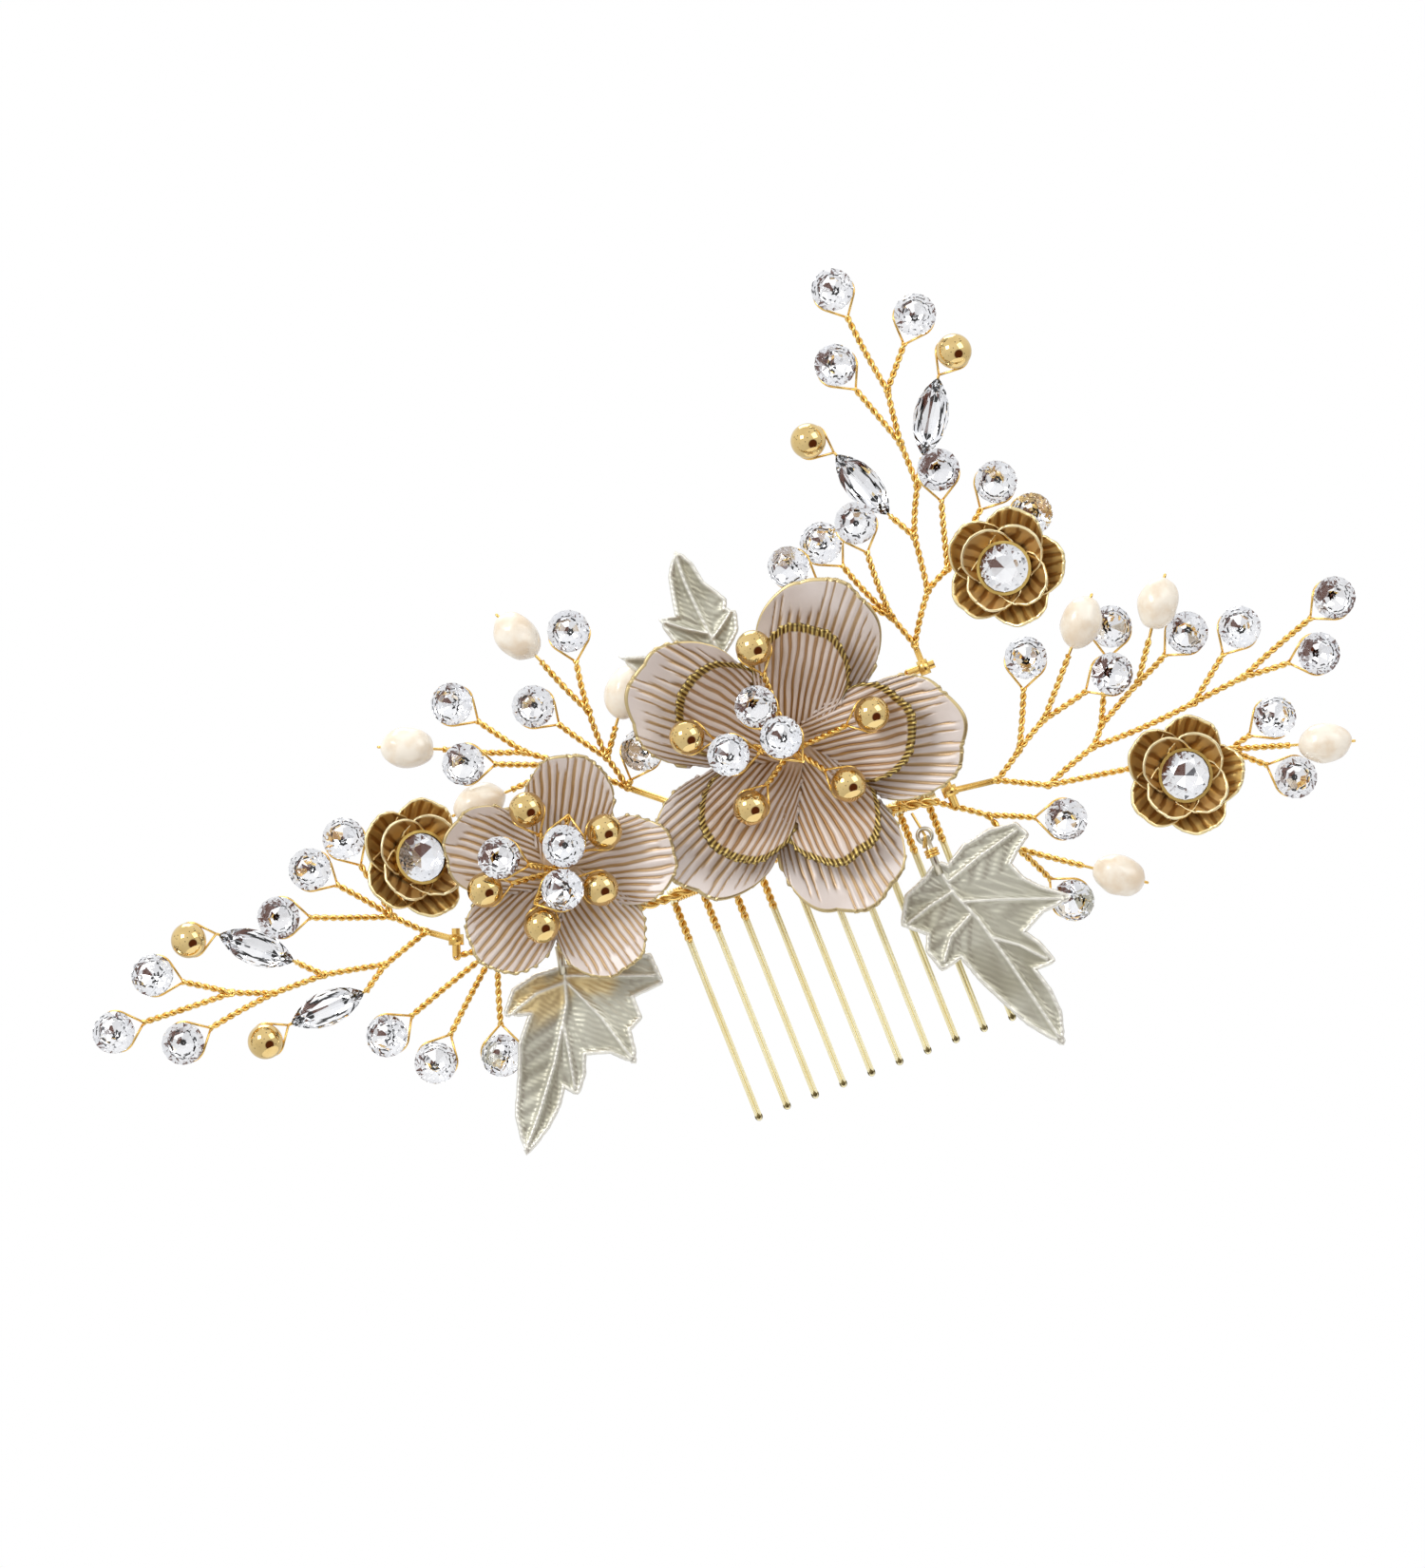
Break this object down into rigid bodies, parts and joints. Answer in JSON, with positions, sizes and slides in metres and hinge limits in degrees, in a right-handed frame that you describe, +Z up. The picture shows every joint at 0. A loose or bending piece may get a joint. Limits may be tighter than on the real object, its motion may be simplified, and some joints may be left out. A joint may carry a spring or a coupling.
{
  "type": "decorative hair comb",
  "caption": "Wire side comb with enamelled flowers, roses, cast leaves and bendable sprays of crystals and pearls.",
  "frame": {"origin": "middle of the spine bar's axis", "axes": "+X along the spine bar, +Z up with the teeth pointing to -Z, the decorated front faces -Y"},
  "size_m": [0.1877, 0.019, 0.1135],
  "materials": {
    "comb_wire": "polished pale gold plating, darker in the folds",
    "gold_wire": "bright yellow gold plated wire, twisted",
    "gold_bead": "mirror polished gold plating",
    "crystal_glass": "clear brilliant-cut glass with foiled back",
    "pearl": "ivory nacre lustre",
    "antique_gold": "antiqued gold, finely ridged with pale rims",
    "leaf_metal": "silvery champagne, satin, with raised veins",
    "petal_enamel": "pearly beige enamel over ridged metal with gold edges"
  },
  "bodies": {
    "comb": {"fan_crystals": "crystal_glass", "fan_wires": "gold_wire", "large_flower_crystals": "crystal_glass", "large_flower_gold_beads": "gold_bead", "large_flower_inner_petals": "petal_enamel", "large_flower_outer_petals": "petal_enamel", "large_flower_wires": "gold_wire", "leaf_front": "leaf_metal", "leaf_low": "leaf_metal", "leaf_tie": "gold_wire", "leaf_top": "leaf_metal", "small_flower_crystals": "crystal_glass", "small_flower_gold_beads": "gold_bead", "small_flower_petals": "petal_enamel", "small_flower_wires": "gold_wire", "spine_bar": "comb_wire", "spine_binding": "gold_wire", "sprig_crystals": "crystal_glass", "sprig_pearls": "pearl", "sprig_wires": "gold_wire", "tooth_01": "comb_wire", "tooth_02": "comb_wire", "tooth_03": "comb_wire", "tooth_04": "comb_wire", "tooth_05": "comb_wire", "tooth_06": "comb_wire", "tooth_07": "comb_wire", "tooth_08": "comb_wire", "tooth_09": "comb_wire", "tooth_10": "comb_wire", "trunk_wires": "gold_wire"},
    "left_spray": {"left_crystals": "crystal_glass", "left_gold_beads": "gold_bead", "left_marquises": "crystal_glass", "left_rose_crystal": "crystal_glass", "left_rose_inner_petals": "antique_gold", "left_rose_outer_petals": "antique_gold", "left_rose_setting": "antique_gold", "left_wires": "gold_wire"},
    "right_spray": {"right_crystals": "crystal_glass", "right_pearls": "pearl", "right_rose_crystal": "crystal_glass", "right_rose_inner_petals": "antique_gold", "right_rose_outer_petals": "antique_gold", "right_rose_setting": "antique_gold", "right_wires": "gold_wire"},
    "top_spray": {"top_crystals": "crystal_glass", "top_gold_beads": "gold_bead", "top_marquises": "crystal_glass", "top_rose_crystal": "crystal_glass", "top_rose_inner_petals": "antique_gold", "top_rose_outer_petals": "antique_gold", "top_rose_setting": "antique_gold", "top_wires": "gold_wire"},
    "upper_spray": {"upper_crystals": "crystal_glass", "upper_pearls": "pearl", "upper_wires": "gold_wire"}
  },
  "joints": [
    {"name": "left_spray_bend", "type": "hinge", "parent": "comb", "child": "left_spray", "pos_m": [-0.04952, -0.00186, 0.0055], "axis": [-0.342, 0, -0.9397], "range_deg": [0, 30]},
    {"name": "upper_spray_bend", "type": "hinge", "parent": "comb", "child": "upper_spray", "pos_m": [-0.014, -0.00186, 0.012], "axis": [-0.7986, 0, -0.6018], "range_deg": [0, 25]},
    {"name": "top_spray_bend", "type": "hinge", "parent": "comb", "child": "top_spray", "pos_m": [0.0255, -0.00186, 0.017], "axis": [-1, 0, 0], "range_deg": [0, 25]},
    {"name": "right_spray_bend", "type": "hinge", "parent": "comb", "child": "right_spray", "pos_m": [0.02252, -0.00186, -0.0005], "axis": [0, 0, 1], "range_deg": [0, 30]}
  ]
}
